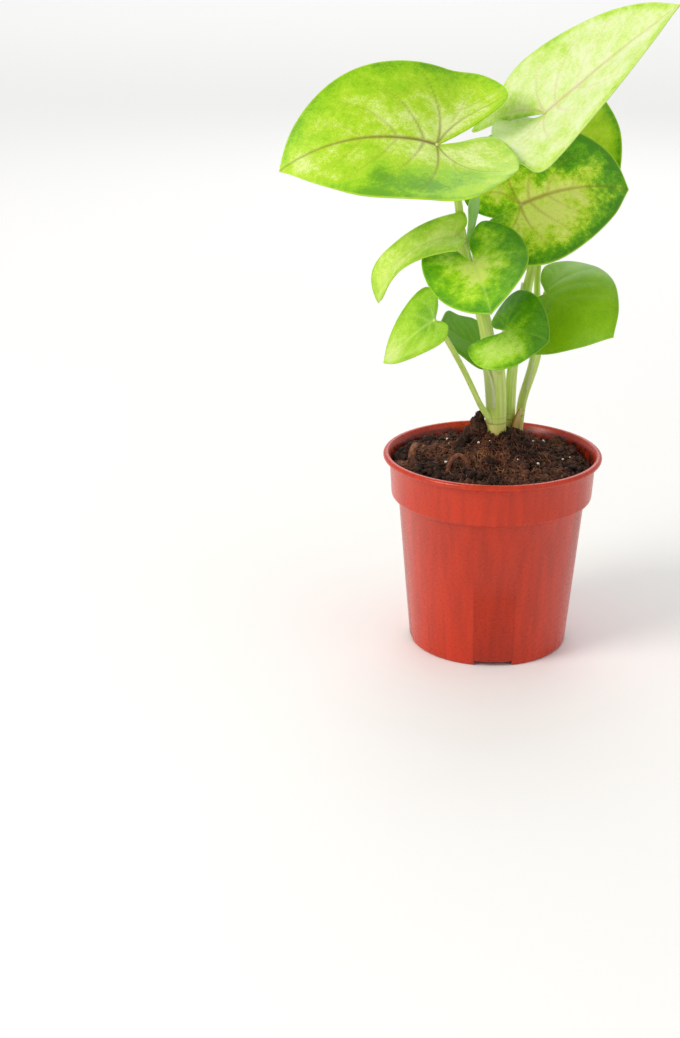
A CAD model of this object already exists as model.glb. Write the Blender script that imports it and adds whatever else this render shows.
import math
import random

import bmesh
import bpy
import numpy as np
from mathutils import Matrix, Vector, noise


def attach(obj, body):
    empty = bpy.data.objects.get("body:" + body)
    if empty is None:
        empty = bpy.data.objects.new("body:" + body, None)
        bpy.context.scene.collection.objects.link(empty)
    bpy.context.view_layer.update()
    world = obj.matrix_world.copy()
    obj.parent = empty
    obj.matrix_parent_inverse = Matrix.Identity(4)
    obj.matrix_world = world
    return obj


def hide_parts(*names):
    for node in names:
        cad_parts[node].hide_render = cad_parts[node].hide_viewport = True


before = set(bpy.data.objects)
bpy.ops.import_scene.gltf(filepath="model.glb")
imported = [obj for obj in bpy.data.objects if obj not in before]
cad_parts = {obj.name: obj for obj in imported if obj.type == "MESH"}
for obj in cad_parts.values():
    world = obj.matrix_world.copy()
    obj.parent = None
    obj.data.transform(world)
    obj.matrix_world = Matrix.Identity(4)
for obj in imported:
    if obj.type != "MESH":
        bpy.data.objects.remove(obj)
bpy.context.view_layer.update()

# Potted arrowhead plant. Lengths are millimetres here and become metres when a mesh is made.
mm = 0.001
scene = bpy.context.scene


# Shared tools: colour, nodes, meshes

def linear(hexColour):
    made = []
    for k in (1, 3, 5):
        value = int(hexColour[k:k + 2], 16) / 255
        made.append(value / 12.92 if value <= 0.04045 else ((value + 0.055) / 1.055) ** 2.4)
    return (*made, 1.0)


def addNode(tree, kind, settings=None, **inputs):
    # settings are the node's own properties; an input is a number, a colour or a socket to link
    node = tree.nodes.new(kind)
    for key, value in (settings or {}).items():
        setattr(node, key, value)
    for key, value in inputs.items():
        place = key.replace("_", " ")
        numbered = place.startswith("in") and place[2:].isdigit()
        socket = node.inputs[int(place[2:])] if numbered else node.inputs[place]
        if isinstance(value, bpy.types.NodeSocket):
            tree.links.new(value, socket)
        else:
            socket.default_value = value
    return node


def newMaterial(name, roughness, ior=1.45, **fixed):
    made = bpy.data.materials.new(name)
    made.use_nodes = True
    shader = made.node_tree.nodes["Principled BSDF"]
    shader.inputs["Roughness"].default_value = roughness
    shader.inputs["IOR"].default_value = ior
    for key, value in fixed.items():
        shader.inputs[key.replace("_", " ")].default_value = value
    return made, made.node_tree, shader


def mathNode(tree, operation, *values):
    inputs = {f"in{k}": value for k, value in enumerate(values)}
    return addNode(tree, "ShaderNodeMath", {"operation": operation}, **inputs).outputs[0]


def mixNode(tree, share, first, second):
    # inputs 6 and 7 of the Mix node are its two colours, output 2 is the mixed one
    inputs = {"in6": first, "in7": second, "in0": share}
    return addNode(tree, "ShaderNodeMix", {"data_type": "RGBA"}, **inputs).outputs[2]


def noiseNode(tree, place, scale, detail, **more):
    return addNode(
        tree, "ShaderNodeTexNoise", Vector=place, Scale=scale, Detail=detail, **more).outputs[0]


def rangeNode(tree, value, low, high, first, last):
    return addNode(
        tree, "ShaderNodeMapRange", Value=value, From_Min=low, From_Max=high, To_Min=first,
        To_Max=last).outputs[0]


def newTissue(name, roughness, ior, radius, scale):
    # living tissue lets light in: radius is how far each colour gets, times the scale in metres
    return newMaterial(
        name, roughness, ior=ior, Subsurface_Weight=0.3, Subsurface_Radius=radius, Subsurface_Scale=scale)


def rampNode(tree, factor, stops):
    node = addNode(tree, "ShaderNodeValToRGB", Fac=factor)
    row = node.color_ramp.elements
    while len(row) < len(stops):
        row.new(0.5)
    for element, (place, colour) in zip(row, stops):
        element.position = place
        element.color = linear(colour)
    return node.outputs[0]


def addBump(tree, shader, height, strength, distance):
    bump = addNode(tree, "ShaderNodeBump", Height=height, Strength=strength, Distance=distance)
    tree.links.new(bump.outputs[0], shader.inputs["Normal"])


def spinProfile(profile, steps, weld):
    # a body of revolution from (radius, height) corners, from the axis back to the axis
    bm = bmesh.new()
    corners = [bm.verts.new((radius, 0.0, z)) for radius, z in profile]
    lines = [bm.edges.new(pair) for pair in zip(corners, corners[1:])]
    bmesh.ops.spin(
        bm, geom=corners + lines, axis=(0, 0, 1), cent=(0, 0, 0), angle=math.tau, steps=steps,
        use_merge=True)
    bmesh.ops.remove_doubles(bm, verts=bm.verts, dist=weld)
    return bm


def meshFrom(bm, name):
    mesh = bpy.data.meshes.new(name)
    bm.to_mesh(mesh)
    bm.free()
    return mesh


def finishPiece(name, bm, materials, nodes):
    bmesh.ops.scale(bm, vec=(mm, mm, mm), verts=bm.verts)
    mesh = meshFrom(bm, name)
    mesh.polygons.foreach_set("use_smooth", [True] * len(mesh.polygons))
    piece = bpy.data.objects.new(name, mesh)
    scene.collection.objects.link(piece)
    for material in materials:
        mesh.materials.append(material)
    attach(piece, "root")
    if nodes:
        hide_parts(*nodes)
    return piece


# Curves: the same Catmull-Rom reading as the part's own source

def splinePoint(points, place):
    index = min(int(place), len(points) - 2)
    share = place - index
    inner = [Vector(p) for p in points]
    row = [inner[0] * 2 - inner[1]] + inner + [inner[-1] * 2 - inner[-2]]
    four = row[index:index + 4]
    knots = [0.0]
    for first, second in zip(four, four[1:]):
        knots.append(knots[-1] + max((second - first).length, 1e-6) ** 0.5)
    at = knots[1] + (knots[2] - knots[1]) * share

    def blend(a, b, low, high):
        return a * ((high - at) / (high - low)) + b * ((at - low) / (high - low))

    pair = [blend(four[k], four[k + 1], knots[k], knots[k + 1]) for k in range(3)]
    ends = [blend(pair[k], pair[k + 1], knots[k], knots[k + 2]) for k in range(2)]
    return blend(ends[0], ends[1], knots[1], knots[2])


def smoothRoute(points, step):
    made = []
    for index in range(len(points) - 1):
        span = (Vector(points[index + 1][:3]) - Vector(points[index][:3])).length
        count = max(2, round(span / step))
        made += [splinePoint(points, index + k / count) for k in range(count)]
    return made + [Vector(points[-1])]


def splitRoute(route, length):
    # the route up to the given length, and the rest of it
    walked = 0.0
    for index, (first, second) in enumerate(zip(route, route[1:])):
        span = (second.to_3d() - first.to_3d()).length
        if walked + span >= length:
            cut = first.lerp(second, (length - walked) / span)
            return route[:index + 1] + [cut], [cut] + route[index + 1:]
        walked += span
    return route, []


def addStalk(bm, route, around=22, groove=0.0, material=0):
    # a round stalk along the route, closed at both ends; groove flattens its inner side
    uvLayer = bm.loops.layers.uv.verify()

    def cap(end, inner):
        # three rings that round off an end, from its tip inwards
        made = []
        for share, out in ((0.0, 0.5), (0.6, 0.42), (0.9, 0.2)):
            tip = end + (end - inner).normalized() * (end[3] * out)
            tip[3] = end[3] * share
            made.append(tip)
        return made

    rows = cap(route[0], route[1]) + route + cap(route[-1], route[-2])[::-1]
    count = len(rows) - 1
    before = set(bm.verts)
    bmesh.ops.create_grid(bm, x_segments=count, y_segments=around, size=0.5)
    made = [v for v in bm.verts if v not in before]
    lengthSoFar = [0.0]
    for a, b in zip(rows, rows[1:]):
        lengthSoFar.append(lengthSoFar[-1] + (b.to_3d() - a.to_3d()).length)
    # a frame carried along the route without turning
    frames, side = [], None
    for k in range(len(rows)):
        a, b = rows[max(0, k - 1)], rows[min(count, k + 1)]
        tangent = (b.to_3d() - a.to_3d()).normalized()
        if side is None:
            side = tangent.cross(Vector((0.3, 1.0, 0.1))).normalized()
        side = (side - tangent * side.dot(tangent)).normalized()
        frames.append((side, tangent.cross(side)))
    uvOf = {}
    for vert in made:
        k = round((vert.co.x + 0.5) * count)
        angle = (vert.co.y + 0.5) * math.tau
        uvOf[vert] = (lengthSoFar[k], angle / math.tau)
        first, second = frames[k]
        radius = rows[k][3] * (1 - groove * math.exp(-((angle - math.pi) / 0.5) ** 2))
        vert.co = rows[k].to_3d() + (first * math.cos(angle) + second * math.sin(angle)) * radius
    faces = {f for v in made for f in v.link_faces}
    for face in faces:
        face.material_index = material
        for loop in face.loops:
            loop[uvLayer].uv = uvOf[loop.vert]
    bmesh.ops.remove_doubles(bm, verts=made, dist=0.0005)
    made = [v for v in bm.verts if v not in before]
    bmesh.ops.recalc_face_normals(bm, faces=list({f for v in made for f in v.link_faces}))


# Camera, light and floor

view = {
    "place": (-41.9, -475.9, 209.6), "pitch": 69.86, "lens": 63.02, "sensor": 36.0, "nearest": 0.01,
    "floorSize": 10.0, "floor": "#fafaf9",  # the floor in metres
}

camera = bpy.data.objects.new("camera", bpy.data.cameras.new("camera"))
camera.location = Vector(view["place"]) * mm
camera.rotation_euler = (math.radians(view["pitch"]), 0.0, 0.0)
camera.data.lens = view["lens"]
camera.data.sensor_width = view["sensor"]
camera.data.clip_start = view["nearest"]
scene.collection.objects.link(camera)
scene.camera = camera

floorMesh = bmesh.new()
bmesh.ops.create_grid(floorMesh, x_segments=8, y_segments=8, size=view["floorSize"] / 2)
floorData = meshFrom(floorMesh, "floor")
floor = bpy.data.objects.new("floor", floorData)
scene.collection.objects.link(floor)
# Studio board: pressed paper with a matt white coat.
floorPaint, _, floorShader = newMaterial("matt white studio board", 0.8)
floorShader.inputs["Base Color"].default_value = linear(view["floor"])
floorData.materials.append(floorPaint)

light = {
    "world": 0.64,
    "lamps": [  # name, place, aim and size in metres, power, colour
        ("key lamp", (-0.74, -0.42, 0.68), (0.0, 0.0, 0.09), 0.50, 5.5, "#fffaf2"),
        ("fill lamp", (0.65, -0.45, 0.45), (0.0, 0.0, 0.09), 0.50, 0.35, "#f3f6ff"),
        ("back lamp", (0.10, 0.75, 0.60), (0.0, 0.0, 0.09), 0.70, 1.1, "#ffffff"),
        ("backdrop lamp", (0.0, 2.4, 1.5), (0.0, 2.3, 0.0), 2.50, 14.0, "#ffffff"),
    ],
}
scene.world = bpy.data.worlds.new("studio")
scene.world.use_nodes = True
sky = scene.world.node_tree.nodes["Background"]
sky.inputs["Color"].default_value = (1.0, 1.0, 1.0, 1.0)
sky.inputs["Strength"].default_value = light["world"]
for lampName, place, aim, size, power, colour in light["lamps"]:
    lamp = bpy.data.objects.new(lampName, bpy.data.lights.new(lampName, "AREA"))
    lamp.data.shape = "DISK"
    lamp.data.size = size
    lamp.data.energy = power
    lamp.data.color = linear(colour)[:3]
    lamp.location = place
    lamp.rotation_euler = (Vector(aim) - Vector(place)).to_track_quat("-Z", "Y").to_euler()
    scene.collection.objects.link(lamp)
scene.view_settings.view_transform = "Standard"
print("camera, light and floor are set")


# Pot

pot = {
    "rim": 30.0, "height": 55.0, "wall": 1.0, "collarTop": 28.2, "collarFoot": 27.65, "collarFootZ": 42.5,
    "bodyTop": 25.65, "bodyFoot": 22.0, "disc": 11.0, "ring": 1.8, "channel": 1.4,
    "lip": 0.85, "notchWidth": 10.4, "notchDepth": 6.0, "notchHeight": 2.4, "notches": 4,
    "drain": 2.0, "drainInset": 3.2, "steps": 192,
    "colour": "#c8320c", "worn": "#b42c0a", "dirt": "#3c170e", "roughness": 0.26,
}


def makePotPlastic():
    # Injection-moulded polypropylene: satin gloss, faint flow marks, fine dust and scuffs.
    made, tree, shader = newMaterial("moulded terracotta polypropylene", pot["roughness"], ior=1.44)
    place = addNode(tree, "ShaderNodeTexCoord").outputs["Object"]
    # flow marks 2 mm wide and 25 mm high; the scales of noise are in turns a metre
    marks = addNode(tree, "ShaderNodeMapping", Vector=place, Scale=(500.0, 500.0, 40.0))
    flow = noiseNode(tree, marks.outputs[0], 1.0, 3.0)
    scuffs = noiseNode(tree, place, 900.0, 4.0)
    tone = rangeNode(tree, flow, 0.35, 0.7, 0.0, 1.0)
    colour = mixNode(tree, tone, linear(pot["colour"]), linear(pot["worn"]))
    # Soil is smeared on the inner side of the collar. The collar leans out by 0.075 for each unit up,
    # so that much is taken from the radius, in metres, to tell its inner side from its outer one.
    flatPlace = addNode(tree, "ShaderNodeMapping", Vector=place, Scale=(1.0, 1.0, 0.0))
    reach = addNode(tree, "ShaderNodeVectorMath", {"operation": "LENGTH"}, in0=flatPlace.outputs[0])
    up = addNode(tree, "ShaderNodeSeparateXYZ", Vector=place).outputs[2]
    upright = mathNode(tree, "MULTIPLY_ADD", up, -0.075, reach.outputs["Value"])
    inside = rangeNode(tree, upright, 0.0237, 0.0241, 1.0, 0.0)
    above = rangeNode(tree, up, 0.0425, 0.0445, 0.0, 1.0)
    smear = noiseNode(tree, place, 420.0, 5.0)
    smearShare = rangeNode(tree, smear, 0.35, 0.62, 0.35, 0.95)
    dirtShare = mathNode(tree, "MULTIPLY", mathNode(tree, "MULTIPLY", inside, above), smearShare)
    dirty = mixNode(tree, dirtShare, colour, linear(pot["dirt"]))
    tree.links.new(dirty, shader.inputs["Base Color"])
    gloss = rangeNode(tree, scuffs, 0.0, 1.0, pot["roughness"] - 0.04, pot["roughness"] + 0.08)
    tree.links.new(gloss, shader.inputs["Roughness"])
    addBump(tree, shader, scuffs, 0.04, 0.0001)
    return made


def applyModifiers(piece):
    depsgraph = bpy.context.evaluated_depsgraph_get()
    mesh = bpy.data.meshes.new_from_object(piece.evaluated_get(depsgraph))
    piece.modifiers.clear()
    piece.data = mesh


def makePot():
    # the profile runs under the base, up the outside, over the lip and down the inside
    top, lipFoot = pot["height"], pot["height"] - 2.0
    rim, wall, disc, channel = pot["rim"], pot["wall"], pot["disc"], pot["channel"]
    bodyFoot, bodyTop = pot["bodyFoot"], pot["bodyTop"]
    foot, collarTop, collarZ = pot["collarFoot"], pot["collarTop"], pot["collarFootZ"]
    ring = bodyFoot - pot["ring"]
    lipMiddle = Vector((rim - pot["lip"], top - 0.9))
    lip = [tuple(lipMiddle + Vector((math.cos(a), math.sin(a))) * pot["lip"]) for a in
           [math.radians(20 * k - 80) for k in range(10)]]
    profile = [
        (0.0, 0.0), (disc - 0.2, 0.0), (disc + 0.1, 0.2), (disc + 0.5, channel),
        (ring - 0.3, channel), (ring - 0.2, 0.15), (ring, 0.0), (bodyFoot - 0.8, 0.0),
        (bodyFoot - 0.4, 0.12), (bodyFoot - 0.1, 0.5), (bodyFoot + 0.03, 1.2),
        (bodyTop, collarZ - 0.4), (bodyTop + 0.3, collarZ - 0.05),
        (foot - 0.9, collarZ + 0.02), (foot - 0.4, collarZ + 0.2),
        (foot - 0.1, collarZ + 0.6), (foot, collarZ + 1.1),
        (collarTop, lipFoot - 0.5), (collarTop + 0.25, lipFoot - 0.1)] + lip + [
        (rim - 1.2, top - 0.04), (rim - 1.5, top - 0.3), (rim - 1.8, top - 0.9),
        (collarTop - wall + 0.35, lipFoot), (collarTop - wall, lipFoot - 2.0),
        (foot - wall, collarZ + 1.2), (bodyTop - wall, collarZ - 0.6),
        (bodyFoot - wall, channel + wall + 0.6), (bodyFoot - wall - 0.4, channel + wall),
        (disc + 0.4, channel + wall), (disc - 0.4, wall), (0.0, wall)]
    bm = spinProfile(profile, pot["steps"], 0.0005)
    bmesh.ops.dissolve_degenerate(bm, edges=bm.edges, dist=0.0005)
    bmesh.ops.recalc_face_normals(bm, faces=bm.faces)
    piece = finishPiece("potShell", bm, [makePotPlastic()], ["pot"])
    # each cutter takes out a notch of the foot ring and the drain hole behind it
    for number in range(pot["notches"]):
        cutter = bmesh.new()
        bmesh.ops.create_cube(cutter, size=1.0)
        bmesh.ops.scale(
            cutter, vec=(pot["notchWidth"], pot["notchDepth"], pot["notchHeight"]), verts=cutter.verts)
        bmesh.ops.translate(cutter, vec=(0.0, -bodyFoot, channel - 1.23), verts=cutter.verts)
        hole = bmesh.ops.create_cone(
            cutter, cap_ends=True, segments=40, radius1=pot["drain"], radius2=pot["drain"], depth=6.0)
        bmesh.ops.translate(cutter, vec=(0.0, pot["drainInset"] - bodyFoot, 2.5), verts=hole["verts"])
        bmesh.ops.rotate(
            cutter, cent=(0, 0, 0), matrix=Matrix.Rotation(math.tau * number / pot["notches"], 3, "Z"),
            verts=cutter.verts)
        bmesh.ops.scale(cutter, vec=(mm, mm, mm), verts=cutter.verts)
        tool = bpy.data.objects.new("notchCutter", meshFrom(cutter, "notchCutter"))
        scene.collection.objects.link(tool)
        cut = piece.modifiers.new("notch", "BOOLEAN")
        cut.operation = "DIFFERENCE"
        cut.object = tool
        cut.use_self = True
        applyModifiers(piece)
        bpy.data.objects.remove(tool)


makePot()
print("pot is made")


# Soil

soil = {
    "gap": 0.3, "level": 52.2, "dip": 1.3, "mound": (2.5, 3.4), "moundRise": 8.0, "moundSpread": 12.0,
    "relief": 0.8, "steps": 150, "rings": 56, "lumps": 300, "crumbs": 1700, "brownCrumbs": 520,
    "fibres": 420, "rootlets": 70, "grains": 18, "reach": 26.0, "stride": 0.9, "seed": 11,
    "clodSeed": 8,
    "dark": "#120b08", "mid": "#36221a", "brown": "#6a4332", "fibre": "#744430", "paleFibre": "#a8764f",
}
# clods: place, height of the centre above the soil, radius
clods = [
    ((-4.6, 3.4), 1.2, 3.0), ((-3.6, 1.8), 2.8, 2.2), ((-5.6, 3.2), 2.6, 2.2), ((-4.0, 3.4), 4.4, 2.0),
    ((-3.4, 2.8), 6.2, 1.4), ((-7.2, 2.4), 0.9, 2.1), ((-9.0, 0.4), 0.5, 1.9),
    ((19.5, 14.5), 0.8, 2.3), ((22.6, 9.5), 0.6, 1.8), ((-17.0, 12.0), 0.3, 1.6),
    ((-9.0, -4.0), 0.3, 1.5), ((8.0, -15.0), 0.2, 1.4), ((14.0, -4.0), 0.3, 1.5)]


def soilHeight(x, y):
    level = soil["level"] - soil["dip"] * (x + y) / (pot["rim"] * math.sqrt(2))
    reach = math.hypot(x - soil["mound"][0], y - soil["mound"][1])
    mound = soil["moundRise"] * math.exp(-(reach / soil["moundSpread"]) ** 2)
    return level + mound + soil["relief"] * noise.noise(Vector((x * 0.28, y * 0.28, 3.7)))


def fineRelief(x, y):
    # crumb structure 1 to 3 mm across
    coarse = noise.noise(Vector((x * 0.6, y * 0.6, 9.1)))
    fine = noise.noise(Vector((x * 1.5, y * 1.5, 4.4)))
    return 0.9 * coarse + 0.8 * fine


def makeSoilMaterial(name, stops, roughness):
    # Damp peat: matt, nearly black in the hollows, red-brown where fibres are dry.
    made, tree, shader = newMaterial(name, roughness, ior=1.33)
    place = addNode(tree, "ShaderNodeTexCoord").outputs["Object"]
    patches = noiseNode(tree, place, 120.0, 3.0)
    grit = noiseNode(tree, place, 1100.0, 5.0)
    gritShare = mathNode(tree, "MULTIPLY_ADD", grit, 0.6, -0.3)
    tone = mathNode(tree, "ADD", patches, gritShare)
    tree.links.new(rampNode(tree, tone, stops), shader.inputs["Base Color"])
    addBump(tree, shader, grit, 0.6, 0.0004)
    return made


soilStops = [(0.25, soil["dark"]), (0.5, soil["mid"]), (0.72, soil["brown"])]
soilStuff = makeSoilMaterial("damp peat", soilStops, 0.85)
fibreStuff = makeSoilMaterial(
    "dry peat fibre", [(0.3, "#3d2419"), (0.55, soil["fibre"]), (0.8, soil["paleFibre"])], 0.75)


def makeSoil():
    wallTop = pot["collarTop"] - pot["wall"] - soil["gap"]
    wallFoot = pot["bodyFoot"] - pot["wall"] - soil["gap"] - 0.2
    floorZ = pot["wall"] + soil["gap"]
    rings = [(wallTop * k / soil["rings"], soil["level"]) for k in range(soil["rings"], -1, -1)]
    profile = [
        (0.0, floorZ), (pot["disc"] - 0.7, floorZ), (pot["disc"] + 0.2, pot["channel"] + floorZ),
        (wallFoot - 0.5, pot["channel"] + floorZ), (wallFoot, pot["channel"] + floorZ + 0.8),
        (pot["bodyTop"] - pot["wall"] - soil["gap"] - 0.1, pot["collarFootZ"] - 0.2),
        (pot["collarFoot"] - pot["wall"] - soil["gap"] - 0.05, pot["collarFootZ"] + 1.6)] + rings
    bm = spinProfile(profile, soil["steps"], 0.001)
    for vert in bm.verts:
        if abs(vert.co.z - soil["level"]) < 0.01:
            x, y = vert.co.x, vert.co.y
            edge = min(1.0, (wallTop - math.hypot(x, y)) / 2.0)
            vert.co.z = soilHeight(x, y) + fineRelief(x, y) * (0.4 + 0.6 * edge)
    draw = random.Random(soil["clodSeed"])
    for (x, y), rise, radius in clods:
        made = bmesh.ops.create_icosphere(bm, subdivisions=4, radius=radius)
        centre = Vector((x, y, soilHeight(x, y) + rise))
        shift = Vector((draw.random(), draw.random(), draw.random())) * 50
        for vert in made["verts"]:
            rough = 0.92 + 0.4 * noise.noise(vert.co * 0.8 + shift) + 0.4 * noise.noise(vert.co * 2.4 + shift)
            vert.co = centre + vert.co * min(1.05, rough)
    bmesh.ops.recalc_face_normals(bm, faces=bm.faces)
    finishPiece("soilBall", bm, [soilStuff], ["soil"])


# where the stems leave the soil: place and clear radius
stemFeet = ((1.0, 3.0, 3.5), (4.9, 6.2, 2.2), (8.1, 9.4, 1.7))


def onSoil(draw, limit):
    # a random place on the soil, clear of the stems
    while True:
        x, y = draw.uniform(-limit, limit), draw.uniform(-limit, limit)
        clear = all(math.hypot(x - a, y - b) > radius for a, b, radius in stemFeet)
        if math.hypot(x, y) < limit and clear:
            return x, y


def makeCrumbs(name, count, sizes, material, seed, lift=0.25, detail=1):
    # crumpled balls on the soil; lift is how far up their centres are, as a share of their size
    draw = random.Random(seed)
    bm = bmesh.new()
    for number in range(count):
        x, y = onSoil(draw, soil["reach"])
        size = draw.uniform(*sizes)
        angle = draw.uniform(0, math.tau)
        turn = Matrix.Rotation(angle, 4, Vector((draw.random(), draw.random(), 1.0)).normalized())
        place = Matrix.Translation((x, y, soilHeight(x, y) + fineRelief(x, y) + size * lift)) @ turn
        flatten = Matrix.Diagonal((1.0, draw.uniform(0.6, 1.0), draw.uniform(0.5, 0.9), 1.0))
        made = bmesh.ops.create_icosphere(bm, subdivisions=detail, radius=size, matrix=place @ flatten)
        for vert in made["verts"]:
            centre = place.translation
            vert.co = centre + (vert.co - centre) * draw.uniform(0.62, 1.15)
    finishPiece(name, bm, [material], [])


def makeFibres(name, count, seed, reach, strides, thickness, material):
    # peat fibres and dry rootlets lying on the soil, thickest round the stems
    draw = random.Random(seed)
    bm = bmesh.new()
    for number in range(count):
        while True:
            x, y = draw.gauss(-2.0, reach), draw.gauss(-2.0, reach)
            if math.hypot(x, y) < 25.0 and math.hypot(x - 1.0, y - 3.0) > 3.6:
                break
        heading, turning = draw.uniform(0, math.tau), draw.uniform(-0.45, 0.45)
        thick = draw.uniform(*thickness)
        points = []
        for k in range(draw.randint(*strides)):
            rise = 0.3 + 0.9 * draw.random() * math.sin(0.6 * k)
            points.append(Vector((x, y, soilHeight(x, y) + fineRelief(x, y) + max(0.1, rise), thick)))
            heading += turning + draw.uniform(-0.35, 0.35)
            x += soil["stride"] * math.cos(heading)
            y += soil["stride"] * math.sin(heading)
            if math.hypot(x, y) > soil["reach"]:
                break
        if len(points) > 2:
            addStalk(bm, points, around=5)
    finishPiece(name, bm, [material], [])


makeSoil()
makeCrumbs("soilLumps", soil["lumps"], (0.7, 1.7), soilStuff, soil["seed"], lift=0.1, detail=2)
makeCrumbs("soilCrumbs", soil["crumbs"], (0.3, 1.0), soilStuff, soil["seed"] + 1)
makeCrumbs("brownCrumbs", soil["brownCrumbs"], (0.25, 0.75), fibreStuff, soil["seed"] + 2)
makeFibres("peatFibres", soil["fibres"], soil["seed"] + 3, 8.0, (4, 7), (0.07, 0.16), fibreStuff)
makeFibres("dryRootlets", soil["rootlets"], soil["seed"] + 4, 7.0, (9, 16), (0.09, 0.2), fibreStuff)


def makePerlite():
    # Perlite: white volcanic glass, puffed up by heat; a few grains are strewn over the soil.
    perlite, _, shader = newMaterial("perlite", 0.9)
    shader.inputs["Base Color"].default_value = linear("#e8e2d4")
    draw = random.Random(soil["seed"] + 5)
    bm = bmesh.new()
    spots = [(11.5, 3.5), (19.5, -0.5), (21.7, 2.0), (14.0, 3.6), (-1.0, -2.5)]
    while len(spots) < soil["grains"]:
        spots.append(onSoil(draw, 24.0))
    for x, y in spots:
        size = draw.uniform(0.22, 0.5)
        centre = Vector((x, y, soilHeight(x, y) + fineRelief(x, y) + 0.7))
        made = bmesh.ops.create_icosphere(bm, subdivisions=1, radius=size, matrix=Matrix.Translation(centre))
        for vert in made["verts"]:
            vert.co = centre + (vert.co - centre) * draw.uniform(0.7, 1.15)
    finishPiece("perliteGrains", bm, [perlite], [])


makePerlite()
print("soil is made")


# Leaves

def half(width, lobe, rise, tip, inner, neck=None):
    # tip, inner and neck are shares of the width: the lobe's end and its two points on the sinus
    if neck is None:
        neck = 0.36 * inner
    return {"width": width, "lobe": lobe, "rise": rise, "tip": tip, "inner": inner, "neck": neck}


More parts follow.
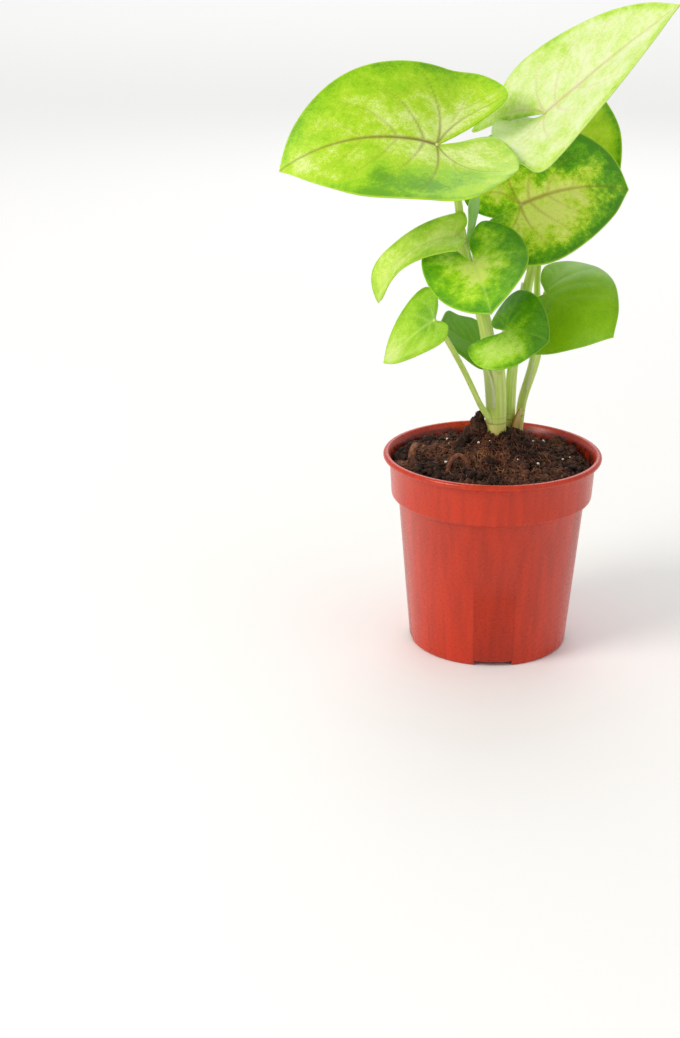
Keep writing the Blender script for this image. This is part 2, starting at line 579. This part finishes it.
# Each leaf: its shape as in the part's source, then its looks. tones runs from deep to pale, base is the
# place of the blade on it, glow is added along the veins as far as star in mm, and edge is taken off in the
# margin as far as band in mm. A patch is its flat place (out is positive on the left), radius and change.
leaves = {
    "leaf_a": dict(
        attach=(-17.5, -13.5, 140.5), heading=185.9, pitch=18.2, roll=-30.4, length=42.2, taper=0.36,
        full=0.78, waist=0.03, low=1.05, left=half(27.7, 22.9, -32.7, 0.43, -0.36),
        right=half(26.5, 16.5, -60.6, 0.67, 0.41), droop=55.8, fold=3.4, curl=13.2, twist=-27, sweep=15.5,
        petiole=[(-9.5, -1.2, 113.0, 1.3), (-10.2, -0.3, 117.6, 1.2), (-10.8, -0.5, 122.9, 1.1),
                 (-13.6, -6.0, 131.6, 1.0), (-16.3, -11.5, 138.6, 0.8)],
        tones=("#66a600", "#96cc04", "#b6da28", "#dcee94"), vein="#7c6414", veined=1.0, base=0.6,
        glow=0.12, edge=0.3, star=1.4, band=2.2, mottle=0.36,
        patches=[(14, 18, 8, -0.5), (1, 20, 7, -0.45), (-9, 14, 6, -0.3), (28, -11, 6, -0.1),
                 (14, -19, 7, -0.12), (2, -23, 5, -0.2), (33, -3, 5, -0.1), (5, 5, 6, 0.25), (-4, -9, 8, 0.3),
                 (38, 4, 7, 0.35), (-9, 3, 6, 0.3), (12, -6, 5, 0.2)]),
    "leaf_b": dict(
        attach=(11.3, 2.0, 146.3), heading=-27, pitch=42.1, roll=41.3, length=44.5, taper=0.34, full=0.72,
        waist=-0.09, low=0.75, left=half(22.6, 22.0, -6.4, 0.56, 0.38),
        right=half(23.7, 16.2, -62, 0.50, -0.54, -0.08),
        droop=2.4, fold=15.7, curl=-17.8, twist=2.6, sweep=-4.4,
        petiole=[(10.3, 7.4, 108.3, 1.0), (11.7, 8.8, 115.8, 1.0), (12.9, 11.0, 124.9, 0.95),
                 (14.0, 14.6, 132.3, 0.95), (14.5, 18.0, 138.0, 0.9), (14.0, 17.6, 143.2, 0.9),
                 (12.6, 11.6, 146.0, 0.85), (11.8, 6.0, 146.2, 0.75)],
        tones=("#78b808", "#b0da40", "#cde586", "#e0ecba"), vein="#c49c70", veined=0.55, base=0.78,
        glow=0.1, edge=0.3, star=1.6, band=1.8, mottle=0.42,
        patches=[(-8, 4, 7, -0.28), (-3, -17, 6, -0.15), (8, 19, 6, -0.3), (-14, 14, 7, -0.25)]),
    "leaf_c": dict(
        attach=(21.7, 22.0, 126.2), heading=74.9, pitch=65.1, roll=-16.4, length=29.2, taper=0.39, full=0.87,
        waist=0.06, low=0.9, left=half(13.9, 9.0, 4, 0.5, 0.18), right=half(14.0, 9.0, 4, 0.5, 0.18),
        droop=16, fold=7.3, curl=-6.5, twist=4.4, sweep=1.4,
        petiole=[(12.4, 12.6, 107.8, 0.9), (15.4, 16.9, 113.5, 0.9), (19.6, 23.0, 120.1, 0.85),
                 (21.3, 24.4, 124.2, 0.7)],
        tones=("#58a000", "#98c808", "#b6dc16", "#d4ea48"), vein="#93b030", veined=0.4, base=0.72,
        glow=0.1, edge=0.6, star=1.5, band=2.2, mottle=0.3,
        patches=[]),
    "leaf_d": dict(
        attach=(6.0, 5.5, 121.9), heading=1, pitch=26, roll=51.8, length=31.2, taper=0.43, full=0.81,
        waist=0.04, low=0.86, left=half(21.0, 12.0, 2.8, 0.34, 0.0), right=half(20.8, 15.0, -5.2, 0.38, 0.0),
        droop=43.8, fold=14.5, curl=-8.9, twist=16.9, sweep=-17.2,
        petiole=[(9.6, 7.5, 103.0, 0.95), (8.4, 8.9, 108.0, 0.9), (7.6, 9.3, 113.5, 0.85),
                 (6.9, 8.3, 118.5, 0.75)],
        tones=("#4a9400", "#78bc04", "#ccea36", "#eef886"), vein="#a0702a", veined=0.75, base=0.34,
        glow=0.3, edge=0.25, star=2.2, band=2.4, mottle=0.6,
        patches=[(5, -7, 9, 0.4), (13, -1, 8, 0.35), (-7, -8, 8, 0.15), (22, 1, 5, 0.2), (17, 10, 7, -0.3),
                 (24, -8, 7, -0.3), (-6, 8, 8, 0.12)]),
    "leaf_e": dict(
        attach=(-7.3, -11.5, 109.8), heading=-75.4, pitch=-25.7, roll=21.2, length=22.4, taper=0.42,
        full=0.84, waist=0.05, low=0.9, left=half(14.3, 13.3, -8.8, 0.5, 0.10),
        right=half(13.2, 12.7, 6.9, 0.5, 0.25), droop=-11.1, fold=5.9, curl=-8.6, twist=14.2, sweep=-7.6,
        petiole=[(-6.2, -0.3, 101.5, 1.0), (-6.1, -5.0, 105.3, 0.9), (-6.8, -10.0, 108.5, 0.7)],
        tones=("#509800", "#78b802", "#aedc1c", "#deee78"), vein="#cfe070", veined=0.6, base=0.26,
        glow=0.42, edge=0.15, star=2.4, band=2.0, mottle=0.5,
        patches=[(4, 0, 5, 0.45), (-4, -5, 5, 0.2), (10, -5, 4, 0.25), (-6, 6, 5, 0.15)]),
    "leaf_f": dict(
        attach=(-11.9, -7.5, 116.3), heading=163.3, pitch=-11.3, roll=-33.7, length=37.7, taper=0.62,
        full=0.69, waist=0.03, low=1.05, left=half(7.15, 3.2, -8, 0.5, 0.2),
        right=half(6.96, 3.0, -2, 0.5, 0.16), droop=73.9, fold=22, curl=-20.7, twist=-35, sweep=-1.4,
        petiole=[(-9.5, -1.2, 113.0, 1.0), (-10.8, -5.0, 115.0, 0.8)],
        tones=("#74ac0a", "#9ecc20", "#bede4a", "#deee92"), vein="#c8e07c", veined=0.4, base=0.6,
        glow=0.15, edge=0.25, star=1.2, band=1.0, mottle=0.4,
        patches=[]),
    "leaf_g": dict(
        attach=(-17.0, -8.0, 93.9), heading=168.6, pitch=-37.4, roll=-35, length=18.9, taper=0.41, full=0.8,
        waist=0.03, low=0.92, left=half(11.2, 3.3, 3, 0.5, 0.24), right=half(11.3, 3.3, 0.3, 0.5, 0.25),
        droop=12.9, fold=9.8, curl=1.3, twist=5, sweep=0.2,
        petiole=[(0.4, 1.4, 62.0, 0.9), (-2.4, 0.4, 66.2, 0.85), (-3.6, -0.2, 68.2, 0.8),
                 (-7.8, -1.5, 77.1, 0.8), (-13.3, -5.5, 87.6, 0.75), (-16.0, -7.5, 92.1, 0.65)],
        tones=("#5a9a00", "#86ba08", "#a8d22a", "#cde27e"), vein="#cfe68a", veined=0.4, base=0.5,
        glow=0.12, edge=0.2, star=1.2, band=1.0, mottle=0.28,
        patches=[(16, 0, 7, 0.45), (1, -1, 5, -0.35), (6, 7, 4, 0.2)]),
    "leaf_h": dict(
        attach=(-3.8, 11.0, 82.1), heading=206.7, pitch=25, roll=-43.3, length=16.0, taper=0.62, full=0.79,
        waist=0.04, low=0.91, left=half(8.5, 3.6, 4.7, 0.5, 0.18), right=half(8.6, 3.6, 3.7, 0.5, 0.18),
        droop=-22.7, fold=5.9, curl=-5.3, twist=-7.1, sweep=1.9,
        petiole=[(-1.7, 2.2, 85.0, 0.9), (-2.1, 6.2, 84.4, 0.8), (-3.1, 9.6, 83.0, 0.65)],
        tones=("#5c9a00", "#70aa02", "#84b80c", "#a0c838"), vein="#7cae30", veined=0.3, base=0.4,
        glow=0.1, edge=0.2, star=0.8, band=1.0, mottle=0.2,
        patches=[]),
    "leaf_i": dict(
        attach=(1.2, -12.0, 91.9), heading=-38.8, pitch=15.7, roll=42.6, length=12.9, taper=0.40, full=0.84,
        waist=0.05, low=0.86, left=half(13.0, 8.0, 25.6, 0.52, 0.18), right=half(12.8, 8.5, -18.8, 0.5, 0.16),
        droop=66.6, fold=6, curl=-7.1, twist=12.4, sweep=-1.2,
        petiole=[(0.8, 1.4, 76.4, 0.9), (1.3, -1.8, 81.4, 0.85), (0.9, -5.4, 86.3, 0.8),
                 (1.0, -9.8, 90.2, 0.65)],
        tones=("#4a8c00", "#64a602", "#9cd022", "#c4e468"), vein="#9ccc46", veined=0.5, base=0.22,
        glow=0.3, edge=0.12, star=1.4, band=1.2, mottle=0.4,
        patches=[(-2, -9, 7, 0.6), (4, -5, 4, 0.35), (3, 2, 3, 0.2)]),
    "leaf_j": dict(
        attach=(13.0, 2.0, 98.8), heading=-56.1, pitch=-3.9, roll=39.8, length=26.1, taper=0.43, full=0.85,
        waist=0.04, low=0.9, left=half(16.8, 8.0, -12.2, 0.51, 0.19), right=half(17.1, 3.5, 1.9, 0.75, 0.18),
        droop=27.3, fold=-4, curl=-30, twist=4.9, sweep=-6.3,
        petiole=[(12.8, 11.2, 84.4, 0.9), (13.1, 7.6, 90.7, 0.85), (13.2, 4.2, 96.1, 0.7)],
        tones=("#689e00", "#86b800", "#9cc812", "#b8d848"), vein="#a2c63c", veined=0.22, base=0.45,
        glow=0.1, edge=0.15, star=0.9, band=1.2, mottle=0.2,
        patches=[]),
}
# stubs is the length of leaf stalk that belongs to the stem, where it isn't the usual one
stubs = {"leaf_d": 4.8, "leaf_g": 8.2, "leaf_i": 6.3}
blade = {
    "thick": 0.36, "spacing": 0.42, "stub": 3.2, "groove": 0.11, "quilt": 0.16, "quiltWidth": 2.2,
    "wave": 0.22, "sideVein": 0.4, "branch": 0.36, "weld": 0.004, "stops": (0.08, 0.38, 0.66, 0.95),
    "flatMargin": 1.5, "flatHeart": 2.0,  # how far from the margin and the stalk the blade stays flat
}
# side veins of half a blade: where each leaves the midrib, its bend and its end, as shares of length and
# width, then how strong it is
sideVeins = [
    (0.0, (-0.05, 0.45), (0.12, 0.86), 0.8), (0.08, (0.14, 0.40), (0.36, 0.62), 0.65),
    (0.24, (0.34, 0.32), (0.58, 0.46), 0.4), (0.45, (0.54, 0.2), (0.74, 0.32), 0.2)]


def halfOutline(leaf, side):
    width, lobe = side["width"], side["lobe"]
    length = leaf["length"]
    return [
        (length, 0.0), (0.80 * length, leaf["taper"] * width), (0.45 * length, leaf["full"] * width),
        (leaf["waist"] * length, width), (-0.60 * lobe, leaf["low"] * width), (-lobe, side["tip"] * width),
        (-0.62 * lobe, side["inner"] * width), (-0.22 * lobe, side["neck"] * width), (0.0, 0.0)]


def bladeColumns(leaf, side, main, lobe):
    # pairs of flat points from the veins to the margin, along the midrib and then along the lobe's vein
    outline = halfOutline(leaf, side)
    pairs = []
    for k in range(main):
        pairs.append((Vector((leaf["length"] * (1 - k / main), 0.0)), splinePoint(outline, 3 * k / main)))
    rungs = []
    for k in range(lobe + 1):
        share = k / lobe
        outer, inner = splinePoint(outline, 3 + 2 * share), splinePoint(outline, 8 - 3 * share)
        rungs.append((inner.lerp(outer, 0.5 * math.sin(math.pi / 2 * min(1.0, 1.6 * share))), outer, inner))
    pairs += [(vein, outer) for vein, outer, inner in rungs]
    pairs += [(vein, inner) for vein, outer, inner in reversed(rungs[:-1])]
    return pairs


def bendPoints(leaf, side, sign, along, out):
    # fold and curl, twist, sweep and droop, in this order, for whole arrays of flat points
    width = (leaf["left"]["width"] + leaf["right"]["width"]) / 2
    length = leaf["length"]
    fold, curl = math.radians(leaf["fold"]), math.radians(leaf["curl"]) / width
    across = (np.sin(fold + curl * out) - math.sin(fold)) / curl * sign
    height = (math.cos(fold) - np.cos(fold + curl * out)) / curl
    twist = math.radians(leaf["twist"]) * along / length
    turned = across * np.cos(twist) - height * np.sin(twist)
    height = across * np.sin(twist) + height * np.cos(twist)
    sweep = math.radians(leaf["sweep"]) / length
    forward = np.sin(sweep * along) / sweep - turned * np.sin(sweep * along)
    across = (1 - np.cos(sweep * along)) / sweep + turned * np.cos(sweep * along)
    droop = np.where(
        along >= 0, math.radians(leaf["droop"]) / length, math.radians(side["rise"]) / side["lobe"])
    angle = droop * forward
    flat = np.stack([
        np.sin(angle) / droop + height * np.sin(angle), across,
        (np.cos(angle) - 1) / droop + height * np.cos(angle)], -1)
    heading, pitch, roll = (math.radians(leaf[key]) for key in ("heading", "pitch", "roll"))
    turn = Matrix.Rotation(heading, 3, "Z") @ Matrix.Rotation(-pitch, 3, "Y") @ Matrix.Rotation(roll, 3, "X")
    return flat @ np.array(turn).T + np.array(leaf["attach"])


def veinLines(leaf, side):
    # each line is its points, its strength and its width in mm
    outline = halfOutline(leaf, side)
    length, width = leaf["length"], side["width"]
    scale = Vector((length, width))
    curves = [((0.0, 0.0), (0.5 * length, 0.0), (length, 0.0), 1.0, 0.35 + 0.008 * length)]
    for root, bend, end, strength in sideVeins:
        bend, end = scale * Vector(bend), scale * Vector(end)
        curves.append(((root * length, 0.0), bend, end, strength, blade["sideVein"]))
    rungs = [(splinePoint(outline, 3 + 2 * v), splinePoint(outline, 8 - 3 * v)) for v in (0.35, 0.7, 0.93)]
    heart = [inner.lerp(outer, 0.5) for outer, inner in rungs]
    curves.append(((0.0, 0.0), heart[0], heart[2], 0.6, blade["sideVein"]))
    for share, place in ((0.6, 4.0), (0.9, 4.6)):
        start = heart[0] * share
        end = splinePoint(outline, place) * 0.9 + start * 0.1
        curves.append((start, start.lerp(end, 0.5), end, 0.25, blade["branch"]))
    made = []
    for a, b, c, strength, thick in curves:
        a, b, c = Vector(a), Vector(b), Vector(c)
        made.append((
            [a * (1 - t) ** 2 + b * 2 * t * (1 - t) + c * t ** 2 for t in [k / 10 for k in range(11)]],
            strength, thick))
    return made


def veinField(points, lines):
    # distance to the nearest vein, and how much of a vein each point shows, fading towards its end
    nearest, shown = np.full(len(points), 1e9), np.zeros(len(points))
    for line, strength, thick in lines:
        for k, (start, end) in enumerate(zip(line, line[1:])):
            a, b = np.array(start[:]), np.array(end[:])
            way = b - a
            share = np.clip(((points - a) @ way) / max(way @ way, 1e-9), 0, 1)
            distance = np.linalg.norm(points - (a + share[:, None] * way), axis=1)
            fade = 1 - 0.06 * (k + share)
            shown = np.maximum(shown, strength * fade * np.exp(-(distance / (thick * fade)) ** 2))
            nearest = np.minimum(nearest, distance + 0.12 * k)
    return nearest, shown


def softNoise(points, scale, seed):
    return np.array([noise.noise(Vector((x * scale, y * scale, seed))) for x, y in points])


def addBlade(bm, leaf, seed):
    # the blade as two grids, welded on the midrib and the lobe veins, with veins pressed in
    layers = {key: bm.verts.layers.float.new(key) for key in ("tone", "vein", "margin")}
    uvLayer = bm.loops.layers.uv.verify()
    ridge = {}  # places on the midrib, shared by both halves
    for key, sign in (("left", 1), ("right", -1)):
        side = leaf[key]
        main = max(16, round(leaf["length"] / blade["spacing"]))
        lobe = max(8, round(side["lobe"] * 1.2 / blade["spacing"]))
        rings = max(12, round(side["width"] / blade["spacing"]))
        pairs = bladeColumns(leaf, side, main, lobe)
        before = set(bm.verts)
        bmesh.ops.create_grid(bm, x_segments=len(pairs) - 1, y_segments=rings, size=0.5)
        verts = [v for v in bm.verts if v not in before]
        columns = [pairs[round((v.co.x + 0.5) * (len(pairs) - 1))] for v in verts]
        roots, edges = (np.array([column[k][:] for column in columns]) for k in (0, 1))
        share = np.array([v.co.y + 0.5 for v in verts])[:, None]
        flat = roots * (1 - share) + edges * share
        margin = np.linalg.norm(edges - flat, axis=1)
        nearest, shown = veinField(flat, veinLines(leaf, side))
        signed = flat * np.array([1, sign])
        tone = leaf["base"] + leaf["glow"] * np.exp(-(nearest / leaf["star"]) ** 2) * np.exp(
            -np.linalg.norm(flat, axis=1) / (0.8 * leaf["length"]))
        tone -= leaf["edge"] * np.exp(-(margin / leaf["band"]) ** 2)
        tone += leaf["mottle"] * 0.6 * softNoise(signed, 0.22, seed) + leaf["mottle"] * 0.4 * softNoise(
            signed, 0.7, seed + 3)
        for px, py, radius, change in leaf["patches"]:
            tone += change * np.exp(-(((signed - np.array([px, py])) / radius) ** 2).sum(1))
        heart = np.linalg.norm(flat, axis=1)
        fade = np.clip(margin / blade["flatMargin"], 0, 1) * np.clip(heart / blade["flatHeart"], 0, 1)
        height = -blade["groove"] * shown
        height += blade["quilt"] * (1 - np.exp(-(nearest / blade["quiltWidth"]) ** 2)) * fade
        height += blade["wave"] * softNoise(signed, 0.12, seed + 7) * fade
        step = 0.01
        here = bendPoints(leaf, side, sign, flat[:, 0], flat[:, 1])
        ahead = bendPoints(leaf, side, sign, flat[:, 0] + step, flat[:, 1]) - here
        outward = (bendPoints(leaf, side, sign, flat[:, 0], flat[:, 1] + step) - here) * sign
        normal = np.cross(ahead, outward)
        normal /= np.linalg.norm(normal, axis=1)[:, None]
        placed = here + normal * height[:, None]
        uvOf = {}
        for k, vert in enumerate(verts):
            along, out = flat[k]
            onMidrib = out < 1e-6 and along > -1e-6
            vert.co = ridge.setdefault(round(along, 3), placed[k]) if onMidrib else placed[k]
            vert[layers["tone"]], vert[layers["vein"]], vert[layers["margin"]] = tone[k], shown[k], margin[k]
            uvOf[vert] = signed[k] / 100
        for face in {f for v in verts for f in v.link_faces}:
            for loop in face.loops:
                loop[uvLayer].uv = uvOf[loop.vert]
    bmesh.ops.remove_doubles(bm, verts=bm.verts, dist=blade["weld"])
    bmesh.ops.dissolve_degenerate(bm, edges=bm.edges, dist=blade["weld"])
    bmesh.ops.recalc_face_normals(bm, faces=bm.faces)
    # the second face of the blade and its edge
    bmesh.ops.solidify(bm, geom=bm.faces[:], thickness=blade["thick"])


def makeLeafSkin(name, leaf):
    # A living leaf: thin waxy skin over green tissue, paler where it lacks pigment, lit through from behind.
    made, tree, shader = newTissue(name + " skin", 0.42, 1.36, (0.85, 1.0, 0.12), 0.001)
    uv = addNode(tree, "ShaderNodeTexCoord").outputs["UV"]
    tone = addNode(tree, "ShaderNodeAttribute", {"attribute_name": "tone"}).outputs["Fac"]
    vein = addNode(tree, "ShaderNodeAttribute", {"attribute_name": "vein"}).outputs["Fac"]
    # flecks of paler tissue, 1 mm and less
    flecks = noiseNode(tree, uv, 90.0, 7.0, Roughness=0.72)
    contrast = 1.2 * leaf["mottle"] + 0.15
    speckle = mathNode(tree, "MULTIPLY_ADD", flecks, contrast, -0.5 * contrast)
    fine = noiseNode(tree, uv, 230.0, 4.0, Roughness=0.6)
    fineShare = mathNode(tree, "MULTIPLY_ADD", fine, 0.7, -0.35)
    mixed = mathNode(tree, "ADD", mathNode(tree, "ADD", tone, fineShare), speckle)
    body = rampNode(tree, mixed, list(zip(blade["stops"], leaf["tones"])))
    # the net of small veins, about 1.6 mm from one to the next
    net = addNode(tree, "ShaderNodeTexVoronoi", {"feature": "DISTANCE_TO_EDGE"}, Vector=uv, Scale=62.0)
    netLine = rangeNode(tree, net.outputs["Distance"], 0.0, 0.09, 0.12 * leaf["veined"], 0.0)
    veined = mixNode(tree, netLine, body, linear(leaf["vein"]))
    line = mathNode(tree, "MULTIPLY", vein, leaf["veined"])
    whole = mixNode(tree, line, veined, linear(leaf["vein"]))
    # the outermost half millimetre is thin and yellowish
    margin = addNode(tree, "ShaderNodeAttribute", {"attribute_name": "margin"}).outputs["Fac"]
    rim = rangeNode(tree, margin, 0.0, 0.5, 0.7, 0.0)
    tree.links.new(mixNode(tree, rim, whole, linear(leaf["tones"][2])), shader.inputs["Base Color"])
    gloss = rangeNode(tree, flecks, 0.0, 1.0, 0.36, 0.52)
    tree.links.new(gloss, shader.inputs["Roughness"])
    cells = noiseNode(tree, uv, 700.0, 2.0)
    relief = mathNode(tree, "MULTIPLY_ADD", netLine, -1.2, cells)
    addBump(tree, shader, relief, 0.25, 0.00012)
    return made


stalk = {
    "pale": "#ecf4a8", "green": "#cfe474", "shade": "#b0d050", "foot": "#dccb7c", "scar": "#6d5a2a",
    "sheath": "#cae078", "sheathEdge": "#e2ecb0", "young": "#b4dc8e", "youngShade": "#96c86a",
    "dried": "#c8a458", "driedEdge": "#6e4422", "sheathThick": 0.3, "sheathNarrowing": 0.75,
}


def makeStalkSkin(name, stops, foot=False):
    # A fleshy stalk: smooth moist skin with fine lengthwise lines; the foot in the soil is yellowed.
    made, tree, shader = newTissue(name, 0.38, 1.4, (0.6, 1.0, 0.2), 0.0015)
    uv = addNode(tree, "ShaderNodeTexCoord").outputs["UV"]
    lines = addNode(tree, "ShaderNodeMapping", Vector=uv, Scale=(0.05, 12.0, 1.0))
    streaks = noiseNode(tree, lines.outputs[0], 1.0, 4.0)
    colour = rampNode(tree, streaks, stops)
    if foot:
        # 59 to 65 mm above the table it turns from yellow to green, with two dark ring scars
        place = addNode(tree, "ShaderNodeTexCoord").outputs["Object"]
        up = addNode(tree, "ShaderNodeSeparateXYZ", Vector=place).outputs[2]
        share = rangeNode(tree, up, 0.052, 0.072, 0.0, 1.0)
        wash = rampNode(tree, share, [(0.35, "#ffffff"), (0.62, "#000000")])
        yellowed = mixNode(tree, wash, colour, linear(stalk["foot"]))
        rings = rampNode(tree, share, [
            (0.515, "#000000"), (0.53, "#c0c0c0"), (0.545, "#000000"), (0.60, "#000000"), (0.61, "#909090"),
            (0.62, "#000000")])
        colour = mixNode(tree, rings, yellowed, linear(stalk["scar"]))
    tree.links.new(colour, shader.inputs["Base Color"])
    addBump(tree, shader, streaks, 0.15, 0.0003)
    return made


def makeSheathSkin(name, middle, edge):
    # The thin wing of a leaf stalk: one colour in the middle, papery towards both edges.
    made, tree, shader = newTissue(name, 0.45, 1.4, (0.6, 1.0, 0.3), 0.0015)
    uv = addNode(tree, "ShaderNodeTexCoord").outputs["UV"]
    across = addNode(tree, "ShaderNodeSeparateXYZ", Vector=uv).outputs[1]
    wander = noiseNode(tree, uv, 1.5, 3.0)
    shifted = mathNode(tree, "MULTIPLY_ADD", wander, 0.1, across)
    colour = rampNode(tree, shifted, [
        (0.1, stalk[edge]), (0.25, stalk[middle]), (0.85, stalk[middle]), (0.98, stalk[edge])])
    tree.links.new(colour, shader.inputs["Base Color"])
    return made


stalkStops = [(0.3, stalk["shade"]), (0.48, stalk["green"]), (0.7, stalk["pale"])]
stalkSkin = makeStalkSkin("fleshy green stalk", stalkStops)
stemSkin = makeStalkSkin("fleshy green stem", stalkStops, foot=True)
sheathSkin = makeSheathSkin("papery sheath", "sheath", "sheathEdge")
driedSkin = makeSheathSkin("dried sheath", "dried", "driedEdge")
for number, (leafName, leaf) in enumerate(leaves.items()):
    bladeMesh = bmesh.new()
    addBlade(bladeMesh, leaf, 10.0 + 3.1 * number)
    route = smoothRoute(leaf["petiole"] + [(*leaf["attach"], 0.5)], 0.8)
    addStalk(bladeMesh, splitRoute(route, stubs.get(leafName, blade["stub"]))[1], groove=0.1, material=1)
    finishPiece(
        "arrowLeaf" + leafName[-1].upper(), bladeMesh, [makeLeafSkin(leafName, leaf), stalkSkin],
        [leafName])
print("leaves are made")


# Stems, sheaths, young leaf and roots

stems = {
    "main_stem": [
        (1.1, 3.0, 52.9, 2.9), (1.0, 3.0, 61.6, 2.9), (0.8, 2.8, 71.6, 2.8), (0.1, 2.4, 78.8, 2.5),
        (-1.9, 2.0, 85.9, 2.0), (-3.0, 1.4, 91.0, 1.9), (-6.2, -0.3, 101.5, 1.7), (-8.6, -1.2, 109.0, 1.6),
        (-9.5, -1.2, 113.0, 1.4)],
    "second_stem": [
        (4.9, 6.2, 52.4, 1.7), (4.9, 6.2, 59.6, 1.7), (5.0, 6.3, 68.0, 1.6), (5.4, 6.5, 76.0, 1.45),
        (7.0, 7.4, 87.3, 1.3), (8.6, 7.6, 97.8, 1.4), (9.9, 7.4, 105.0, 1.1), (10.3, 7.4, 108.3, 1.0)],
    "third_stem": [
        (8.1, 9.4, 52.8, 1.2), (8.1, 9.4, 59.6, 1.2), (8.8, 9.4, 66.9, 1.3), (12.2, 10.6, 78.9, 1.35),
        (12.9, 11.6, 87.7, 1.1), (12.0, 12.0, 96.9, 0.9), (12.0, 12.2, 104.1, 0.9), (12.4, 12.6, 107.8, 0.9)],
}
stemOfLeaf = {
    "leaf_a": "main_stem", "leaf_b": "second_stem", "leaf_c": "third_stem", "leaf_d": "second_stem",
    "leaf_e": "main_stem", "leaf_f": "main_stem", "leaf_g": "main_stem", "leaf_h": "main_stem",
    "leaf_i": "main_stem", "leaf_j": "third_stem"}
# start and end are shares of the stem's route, foot and mouth are radii, middle and spread are degrees
sheaths = [
    dict(stem="main_stem", start=0.2, end=0.44, foot=2.75, mouth=3.4, middle=208, spread=110),
    dict(stem="second_stem", start=0.52, end=0.86, foot=1.2, mouth=1.9, middle=190, spread=190),
    dict(stem="third_stem", start=0.2, end=0.50, foot=1.1, mouth=1.75, middle=200, spread=170),
    dict(stem="main_stem", start=0.76, end=0.99, foot=1.7, mouth=2.3, middle=100, spread=190),
    dict(stem="second_stem", start=0.06, end=0.25, foot=1.85, mouth=3.6, middle=-35, spread=110, dried=True),
]
youngLeaf = [
    (-8.6, -1.0, 108.6, 0.8), (-7.7, 1.2, 113.3, 0.85), (-7.0, 2.0, 117.9, 1.1), (-6.6, 2.0, 122.4, 1.5),
    (-5.9, 2.0, 127.0, 0.6)]
youngStub = 4.2


def addSheath(bm, sheath, route, material):
    # a thin wing wrapped part of the way round a stalk, wider and looser at its mouth
    shell = bmesh.new()
    uvLayer = shell.loops.layers.uv.verify()
    bmesh.ops.create_grid(shell, x_segments=26, y_segments=44, size=0.5)
    last = len(route) - 1
    uvOf = {}
    for vert in shell.verts:
        u, v = vert.co.x + 0.5, vert.co.y + 0.5
        place = (sheath["start"] + (sheath["end"] - sheath["start"]) * v) * last
        index = min(int(place), last - 1)
        centre = route[index].lerp(route[index + 1], place - index).to_3d()
        narrow = 1 - stalk["sheathNarrowing"] * v ** 3
        angle = math.radians(sheath["middle"] + sheath["spread"] * (u - 0.5) * narrow)
        radius = sheath["foot"] + (sheath["mouth"] - sheath["foot"]) * v
        vert.co = centre + Vector((math.cos(angle), math.sin(angle), 0.0)) * radius
        uvOf[vert] = (v * 20, u)
    for face in shell.faces:
        face.material_index = material
        for loop in face.loops:
            loop[uvLayer].uv = uvOf[loop.vert]
    bmesh.ops.solidify(shell, geom=shell.faces[:], thickness=stalk["sheathThick"])
    mesh = meshFrom(shell, "shell")
    bm.from_mesh(mesh)
    bpy.data.meshes.remove(mesh)


for stemName, points in stems.items():
    stemMesh = bmesh.new()
    route = smoothRoute(points, 0.8)
    addStalk(stemMesh, route, around=40)
    for leafName, leaf in leaves.items():
        if stemOfLeaf[leafName] == stemName:
            petiole = smoothRoute(leaf["petiole"], 0.8)
            addStalk(stemMesh, splitRoute(petiole, stubs.get(leafName, blade["stub"]))[0])
    if stemName == "main_stem":
        addStalk(stemMesh, splitRoute(smoothRoute(youngLeaf, 0.8), youngStub)[0])
    for sheath in sheaths:
        if sheath["stem"] == stemName:
            addSheath(stemMesh, sheath, route, 2 if sheath.get("dried") else 1)
    finishPiece(
        stemName.split("_")[0] + "Stalk", stemMesh, [stemSkin, sheathSkin, driedSkin], [stemName])

youngMesh = bmesh.new()
addStalk(youngMesh, splitRoute(smoothRoute(youngLeaf, 0.6), youngStub)[1], around=28)
youngSkin = makeStalkSkin("young rolled leaf", [(0.3, stalk["youngShade"]), (0.6, stalk["young"])])
finishPiece("rolledLeaf", youngMesh, [youngSkin], ["young_leaf"])

roots = {
    "root_loop": [
        (-12.9, -13.6, 50.4, 0.6), (-12.9, -13.2, 53.8, 0.6), (-11.9, -12.4, 56.4, 0.65),
        (-9.8, -11.8, 57.6, 0.65), (-8.0, -12.2, 56.2, 0.6), (-7.2, -12.8, 52.6, 0.5)],
    "bark_curl": [
        (-22.6, -3.4, 51.0, 0.9), (-22.4, -3.2, 53.4, 0.95), (-22.0, -2.0, 55.6, 1.0),
        (-21.2, -0.2, 56.6, 0.9), (-20.4, 1.6, 56.0, 0.6)],
}
rootStuff = makeSoilMaterial("dry root", [(0.3, "#43241a"), (0.5, "#744632"), (0.75, "#a8745a")], 0.7)
for rootName, points in roots.items():
    rootMesh = bmesh.new()
    addStalk(rootMesh, smoothRoute(points, 0.4), around=16)
    finishPiece(rootName.split("_")[0] + "Strand", rootMesh, [rootStuff], [rootName])
print("stems and roots are made")
